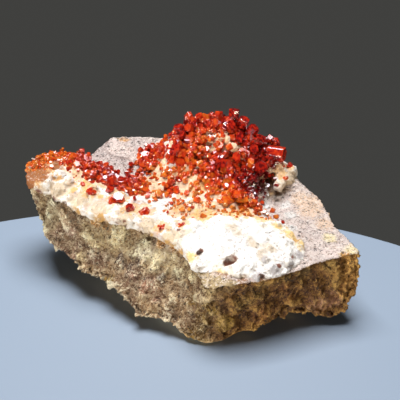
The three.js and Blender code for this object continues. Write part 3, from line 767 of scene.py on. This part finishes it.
# the vanadinite
vanadinitePlan = {
    "zones": {  # place and reach in mm, crystal radius in mm, tone (0 maroon, 1 pale orange), ground covered
        "summitAndBrow": [
            (12.5, 24, 54, 6, 2.2, 0.22, 1.0), (-7, 22, 52, 5, 2.2, 0.15, 1.0),
            (2, 24, 55, 4, 1.7, 0.38, 1.0), (17.5, 20, 50, 6, 2.3, 0.18, 1.0),
            (26.2, 16.4, 46, 6, 2.1, 0.15, 1.0), (20, 10.5, 42, 5, 1.7, 0.22, 1.0),
        ],
        "paleMiddle": [
            (0, 18.3, 52, 4, 1.1, 0.62, 0.85), (9, 18.2, 52, 3.6, 0.9, 0.66, 0.16),
            (13.5, 14.5, 49, 3.4, 0.9, 0.6, 0.16),
        ],
        "band": [
            (-7.5, 15.1, 48, 4, 1.8, 0.34, 1.0), (-1, 13, 46, 3.4, 1.4, 0.5, 0.9),
            (6.5, 11.2, 46, 4.5, 1.9, 0.32, 1.0),
        ],
        "leftOfSlope": [
            (-17.7, 27, 44, 5, 1.5, 0.40, 1.0), (-22, 20, 41, 4, 1.2, 0.45, 0.85),
            (-15.1, 14.7, 39.4, 4, 1.1, 0.66, 0.55), (-20.5, 13, 39, 4, 1.1, 0.64, 0.55),
            (-24, 7, 37, 4, 1.3, 0.45, 0.85),
        ],
        "slope": [
            (-5.6, 9.5, 41.5, 2.6, 1.0, 0.62, 0.7), (0, 5, 38.5, 3.4, 1.1, 0.66, 0.6),
            (-10.3, 5.1, 38.5, 2.6, 1.8, 0.30, 1.0), (-15, 1, 36, 4, 1.2, 0.64, 0.6),
            (13, 4, 38, 3, 1.4, 0.45, 0.9), (14, -0.9, 36.5, 4, 1.6, 0.55, 0.9),
            (20, -0.5, 34, 4, 1.5, 0.54, 0.9), (5, 1, 36.5, 3.5, 1.2, 0.66, 0.65),
            (-3.7, -1, 35.3, 4, 1.0, 0.78, 0.5),
        ],
        # in the hollow under the brow the crystals get a tone below the ramp, clamped to its darkest maroon:
        # painted shade over their own deep red
        "hollow": [(21, 6.5, 38, 4.5, 1.1, -0.3, 0.9), (23.8, 8, 36, 3.4, 1.0, -0.3, 0)],
        "runOut": [
            (5.4, -5.5, 33.8, 4, 0.9, 0.87, 0.33), (13, -6.5, 33, 4, 1.0, 0.85, 0.37),
            (22, -6, 32.5, 4, 1.0, 0.76, 0.33), (-9, -6.5, 33.5, 4, 0.9, 0.75, 0.3),
            (-6.3, -12, 33, 4, 0.8, 0.75, 0.12), (8, -11, 33, 4, 0.6, 0.85, 0.09),
            (27, -9, 31.5, 3.5, 0.8, 0.8, 0.25),
        ],
        "chain": [
            (-39.5, 26, 38, 5, 1.6, 0.34, 1.15), (-36, 20, 37.7, 5.5, 1.7, 0.30, 1.2),
            (-31, 15, 36, 5, 1.9, 0.24, 1.2), (-27, 10, 35, 4, 1.4, 0.38, 1.1),
            (-44, 19, 37, 4, 1.1, 0.5, 0.75),
        ],
        "footOfBand": [
            (6, 6.5, 41, 3.6, 1.3, 0.45, 0.95), (13, 7, 41, 3.6, 1.5, 0.35, 1.0),
            (-2, 8.8, 42, 3, 1.2, 0.5, 0.85), (17, 8, 40, 3, 1.6, 0.28, 1.0),
            (-10, 9.5, 42, 3, 1.2, 0.5, 0.85),
        ],
        "bareKnob": [(36, 16.5, 42, 3.2, 1.0, 0.3, 0), (33, 13.5, 39, 6, 1.0, 0.3, 0)],
        "leftEnd": [
            (-50, 28, 40, 5, 1.2, 0.5, 1.0), (-60, 28, 40, 5, 1.0, 0.66, 0.95),
            (-65, 23, 37, 4, 0.7, 0.8, 0.75),
        ],
        "leftOfSummit": [
            (-13.5, 21, 43, 3.6, 1.1, 0.42, 0.95), (-11.5, 21, 49, 3, 1.0, 0.5, 0),
            (-11, 28, 48, 2.4, 1.0, 0.5, 0.2),
        ],
    },
    "reach": 3.6,  # how far round a cluster's solid its crystals stand on the ground, in mm
    "headroom": 2.5,  # what a crystal needs free above it, in mm
    "clump": 2.4,  # size in mm of the clumps that a thin cover breaks into
    "clusters": {
        "vanadinite_mound": "vanadinite_red", "vanadinite_left_chain": "vanadinite_red",
        "vanadinite_left_ridge": "vanadinite_orange", "vanadinite_front_fringe": "vanadinite_orange",
    },
    "habit": {
        "size": (0.55, 0.8),  # least share of the zone's radius, and what chance adds to it
        "height": (1.0, 2.5),  # in radii
        "sunk": 0.4,  # share of the height that is in the ground
        "toneSpread": 0.28,
    },
    "passes": {  # share of the zone's radius, crowding and splay
        "first": (1, 0.66, 0.4), "stacked": (0.95, 0.6, 0.35),
        "small": (0.5, 0.6, 0.4), "smallStacked": (0.5, 0.55, 0.3),
    },
    "stack": {"layers": 3, "tries": 3, "coverFrom": 0.85, "outside": 0.5},  # crystals that grow on crystals
    "lone": {  # a crystal that stands alone, and the smaller ones round its foot
        "share": 0.8, "lean": (0, -0.5, 1), "tone": 0.3,
        "around": 9, "smaller": (0.45, 0.75), "smallerTone": 0.42, "pass": (1, 0.4, 0.4),
    },
    "heroes": {  # single crystals that stand out: foot, axis, radius, length and tone
        "vanadinite_mound": [
            ((25.4, 17.6, 46.2), (0.9, -0.42, 0.05), 2.7, 6.8, 0.26),
            ((-6.6, 21.5, 52.2), (-0.5, -0.35, 1), 2.1, 4.2, 0.10),
            ((-4, 24.5, 54.4), (-0.1, 0.3, 1), 1.9, 3.6, 0.22),
            ((-3, 21, 53.8), (-0.6, -0.7, 0.7), 1.7, 3.4, 0.3),
            ((12.6, 24.5, 56.5), (0.1, 0.2, 1), 2.2, 4.2, 0.12),
            ((11, 21.5, 55), (0.3, -1, 0.7), 1.9, 3.6, 0.18),
            ((15.4, 22.5, 54.8), (0.4, -0.4, 1), 2.2, 4.2, 0.15),
            ((7, 25, 56), (0.05, 0.3, 1), 1.8, 3.6, 0.35),
            ((5.5, 22.5, 55.6), (0.1, -1, 0.8), 1.6, 3.6, 0.42),
            ((0.5, 23.5, 55.6), (-0.3, -0.1, 1), 1.8, 3.8, 0.3),
            ((18.2, 21, 52), (0.7, -0.2, 0.9), 2.2, 4.2, 0.14),
            ((20.5, 18.5, 49.3), (0.8, -0.5, 0.9), 2.1, 4.2, 0.12),
            ((22.5, 20, 47.5), (0.6, 0.2, 0.9), 2.0, 4, 0.14),
            ((22, 11, 43), (0.3, -0.9, 0.5), 2.3, 4.0, 0.12),
            ((18.5, 11, 44), (0.1, -0.7, 0.8), 1.5, 3.8, 0.66),
            ((7.5, 11.5, 44.5), (0.1, -0.9, 0.5), 2.3, 4.0, 0.15),
            ((-8, 16, 48), (-0.3, -0.8, 0.6), 2.1, 3.8, 0.2),
            ((14, 12, 46), (-0.2, -0.8, 0.7), 2.0, 3.6, 0.2),
        ],
    },
    "ramp": [(0.0, (0.17, 0.006, 0.007)), (0.2, (0.52, 0.018, 0.008)), (0.45, (0.80, 0.07, 0.012)),
             (0.7, (0.86, 0.18, 0.018)), (0.88, (0.90, 0.30, 0.035)), (1.0, (0.92, 0.42, 0.14))],
    "surface": {"Roughness": 0.07, "Transmission Weight": 0.45, "IOR": 1.8},
    "bump": {"strength": 0.35, "depth": 0.2},
}


def vanadiniteMaterial(plan):
    surface, tree, shader = newSurface("vanadinite", plan["surface"])
    tone = attributeMask(tree, "tone")
    where = millimetres(tree)
    cloud = addNode(tree, "ShaderNodeTexNoise", inputs={"Vector": where, "Scale": 0.8, "Detail": 3.0})
    drift = rescale(tree, cloud.outputs["Fac"], 0.3, 0.7, -0.5, 0.5)
    shifted = addNode(tree, "ShaderNodeMath", operation="MULTIPLY_ADD", use_clamp=True,
                      inputs={0: drift, 1: 0.35, 2: tone}).outputs[0]
    shades = addNode(tree, "ShaderNodeValToRGB", inputs={"Fac": shifted})
    stops = shades.color_ramp.elements
    while len(stops) < len(plan["ramp"]):
        stops.new(0.5)
    for stop, (position, colour) in zip(stops, plan["ramp"]):
        stop.position = position
        stop.color = (*colour, 1)
    tree.links.new(shades.outputs["Color"], shader.inputs["Base Color"])
    ridges = addNode(tree, "ShaderNodeTexNoise", inputs={"Vector": where, "Scale": 2.2, "Detail": 4.0})
    bumpFrom(tree, shader, ridges.outputs["Fac"], **plan["bump"])
    return surface


def prismShape():  # a six-sided prism one unit in radius and height, its edges bevelled
    bpy.ops.object.select_all(action="DESELECT")
    bpy.ops.mesh.primitive_cylinder_add(vertices=6, radius=1, depth=1, location=(0, 0, 0.5))
    bpy.ops.object.transform_apply(location=True, rotation=False, scale=False)
    shape = bpy.context.object
    shape.name = "prism"
    bpy.ops.object.mode_set(mode="EDIT")
    bpy.ops.mesh.select_all(action="SELECT")
    bpy.ops.mesh.bevel(offset=0.09, segments=1, affect="EDGES")
    bpy.ops.object.mode_set(mode="OBJECT")
    shape.data.attributes.new("tone", "FLOAT", "POINT")
    return shape


def habitAt(plan, points):  # crystal radius, tone and cover at each point, blended from the zones near it
    zones = [zone for group in plan["zones"].values() for zone in group]
    weights = np.array([spotsOver(points, [zone[:4]]) for zone in zones]) + 1e-9
    shares = weights / weights.sum(axis=0)
    radius, tone, cover = (np.array([zone[k] for zone in zones]) @ shares for k in (4, 5, 6))
    return radius, tone, cover * np.clip(weights.sum(axis=0) * 2, 0, 1)


def groundSites(plan, node, clusterTree):  # places for crystals on the ground near a cluster
    low, high = (np.array(corner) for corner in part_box(node))
    reach = plan["reach"] * mm
    found = []
    for piece in (bariteCrust, hostRock):
        points, normals = pointsOf(piece.data), normalsOf(piece.data)
        near = np.all((points > low - reach) & (points < high + reach), axis=1)
        for i in np.nonzero(near & (normals[:, 2] > -0.2))[0].tolist():
            at, normal = Vector(points[i]), Vector(normals[i])
            if clusterTree.find_nearest(at, reach)[0] is None:
                continue
            if groundTree.ray_cast(at + normal * 0.1 * mm, normal, plan["headroom"] * mm)[0] is None:
                found.append((at, normal))
    chance.shuffle(found)
    radius, tone, cover = habitAt(plan, np.array([tuple(at) for at, normal in found]))
    clumps = np.array([noise.noise(at / (plan["clump"] * mm)) for at, normal in found])
    cover = np.where(cover < 0.93, cover * np.clip(1 + 2.2 * clumps, 0.1, 1.7), cover)
    return [(*site, *traits) for site, *traits in zip(found, radius, tone, cover)]


def hasRoom(at, radius, crowding, taken, cell=3.0 * mm):  # taken holds the crystals so far, by cell
    key = [int(c // cell) for c in at]
    near = [other for dx in (-1, 0, 1) for dy in (-1, 0, 1) for dz in (-1, 0, 1)
            for other in taken.get((key[0] + dx, key[1] + dy, key[2] + dz), ())]
    if any((at - there).length < crowding * (radius + size) for there, size in near):
        return False
    taken.setdefault(tuple(key), []).append((at, radius))
    return True


def grow(plan, sites, share, crowding, splay, taken):  # a crystal at each site that leaves room for it
    habit = plan["habit"]
    least, spread = habit["size"]
    grown = []
    for at, normal, typical, tone, cover in sites:
        radius = typical * share * (least + spread * chance.random() ** 2) * mm
        if cover < 0.03 or not hasRoom(at, radius, crowding / cover, taken):
            continue
        lean = Vector([chance.gauss(0, splay) for _ in range(3)])
        axis = (normal.normalized() + lean).normalized()
        height = radius * chance.uniform(*habit["height"])
        hue = min(0.95, max(0, tone + chance.gauss(0, habit["toneSpread"] / (1 + typical))))
        grown.append((at - axis * habit["sunk"] * height, axis, radius, height, hue, (typical, tone, cover)))
    return grown


def offshoots(plan, parents, clusterTree):  # places on the crystals themselves, inside the cluster's solid
    stack = plan["stack"]
    sites = []
    for base, axis, radius, height, hue, traits in parents:
        for _ in range(stack["tries"] if traits[2] > stack["coverFrom"] else 0):
            aside = Vector([chance.uniform(-1, 1) for _ in range(3)])
            aside = (aside - axis * aside.dot(axis)).normalized()
            at = base + axis * height * chance.uniform(0.6, 1.0) + aside * radius * chance.uniform(0, 0.8)
            nearest, outward = clusterTree.find_nearest(at)[:2]
            if (at - nearest).dot(outward) < stack["outside"] * mm:
                sites.append((at, axis + aside * 0.8, *traits))
    return sites


def clusterCrystals(plan, node, taken):
    clusterTree = treeOf(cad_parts[node])
    passes = plan["passes"]
    sites = groundSites(plan, node, clusterTree)
    crystals = grow(plan, sites, *passes["first"], taken)
    layer = crystals
    for _ in range(plan["stack"]["layers"]):
        layer = grow(plan, offshoots(plan, layer, clusterTree), *passes["stacked"], taken)
        crystals = crystals + layer
    small = grow(plan, sites, *passes["small"], taken)
    smallStacked = grow(plan, offshoots(plan, crystals, clusterTree), *passes["smallStacked"], taken)
    return crystals + small + smallStacked


def loneCrystals(plan, node):  # one crystal where the node stands, and smaller ones round its foot
    lone = plan["lone"]
    low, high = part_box(node)
    above = (Vector(low) + Vector(high)) / 2 + Vector((0, 0, 5 * mm))
    at, normal = groundTree.ray_cast(above, Vector((0, 0, -1)))[:2]
    radius = (high[0] - low[0]) / 2 / mm * lone["share"]
    sites = [(at, Vector(lone["lean"]), radius, lone["tone"], 1)]
    for _ in range(lone["around"]):
        step = Vector((chance.uniform(-1, 1), chance.uniform(-1, 1), 0)) * radius * mm
        smaller = radius * chance.uniform(*lone["smaller"])
        sites.append((at + step, normal + step / radius / mm, smaller, lone["smallerTone"], 1))
    return grow(plan, sites, *lone["pass"], {})


def crystalMesh(shape, base, axis, radius, height, hue, *_):
    sizes = (radius, radius * chance.uniform(0.72, 1.1), height)
    piece = copyPiece(shape, standing(base, axis, chance.uniform(0, 6.3), sizes))
    paint(piece.data, "tone", [hue] * len(piece.data.vertices))
    return piece


def finishCrystals(name, crystals, slot, *nodes):
    joinInto(crystals[0], crystals[1:])
    cluster = crystals[0]
    cluster.name = name
    cluster.data.materials.append(vanadinite)
    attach(cluster, "root")
    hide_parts(*nodes)
    print(name + ":", len(crystals), "crystals,", len(cluster.data.polygons), "faces")


def pieceName(node):
    first, *rest = node.split("_")
    return first + "".join(word.title() for word in rest)


vanadinite = vanadiniteMaterial(vanadinitePlan)
prism = prismShape()
groundTree = treeOf(bariteCrust, hostRock)
taken = {}
clusters = vanadinitePlan["clusters"]
for node, slot in clusters.items():
    meshes = [crystalMesh(prism, *crystal) for crystal in clusterCrystals(vanadinitePlan, node, taken)]
    for foot, axis, radius, length, hue in vanadinitePlan["heroes"].get(node, []):
        meshes.append(crystalMesh(prism, place(*foot), Vector(axis), radius * mm, length * mm, hue))
    finishCrystals(pieceName(node), meshes, slot, node)
for node in crystalNodes:
    if node not in clusters:
        meshes = [crystalMesh(prism, *crystal) for crystal in loneCrystals(vanadinitePlan, node)]
        finishCrystals(pieceName(node), meshes, "vanadinite_red", node)
bpy.data.objects.remove(prism)
print("vanadinite is grown")
